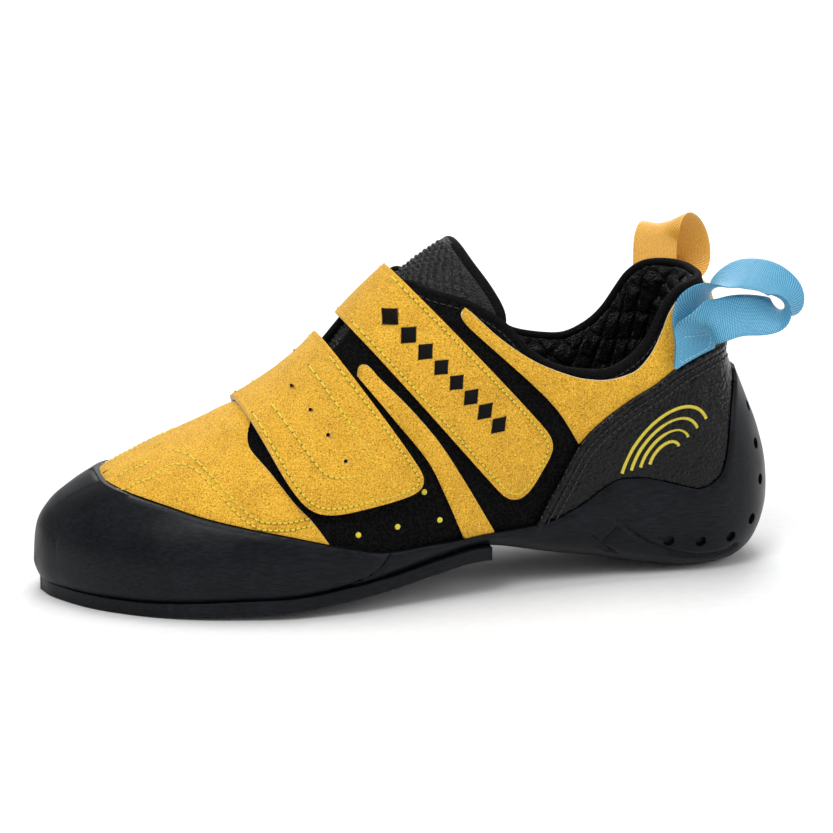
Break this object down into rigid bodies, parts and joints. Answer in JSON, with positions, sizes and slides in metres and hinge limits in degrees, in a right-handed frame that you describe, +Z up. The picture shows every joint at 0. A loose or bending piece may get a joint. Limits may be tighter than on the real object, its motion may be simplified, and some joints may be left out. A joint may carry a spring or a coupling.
{
  "type": "climbing shoe",
  "caption": "Left climbing shoe with a hollow upper, padded tongue, two hook-and-loop straps, rubber rands, a forefoot sole plate and two heel pull loops.",
  "frame": {"origin": "centre of the heel's flat spot, on the floor", "axes": "+X from toe to heel along the shoe, -Y to the shoe's outer side, +Z up"},
  "size_m": [0.2525, 0.0933, 0.1137],
  "materials": {
    "textile": "matte",
    "board": "matte",
    "suede": "matte suede",
    "black_leather": "satin",
    "rubber": "matte",
    "blue_webbing": "woven",
    "yellow_webbing": "woven"
  },
  "bodies": {
    "root": {"upper": "textile", "insole": "board", "tongue": "textile", "outsole": "rubber", "toe_rand": "rubber", "heel_rand": "rubber", "vamp_panel": "suede", "lateral_stripe": "suede", "medial_stripe": "suede", "rear_quarter": "suede", "heel_counter": "black_leather", "front_strap": "suede", "rear_strap": "suede", "lateral_pull_loop": "blue_webbing", "medial_pull_loop": "yellow_webbing"}
  },
  "joints": []
}
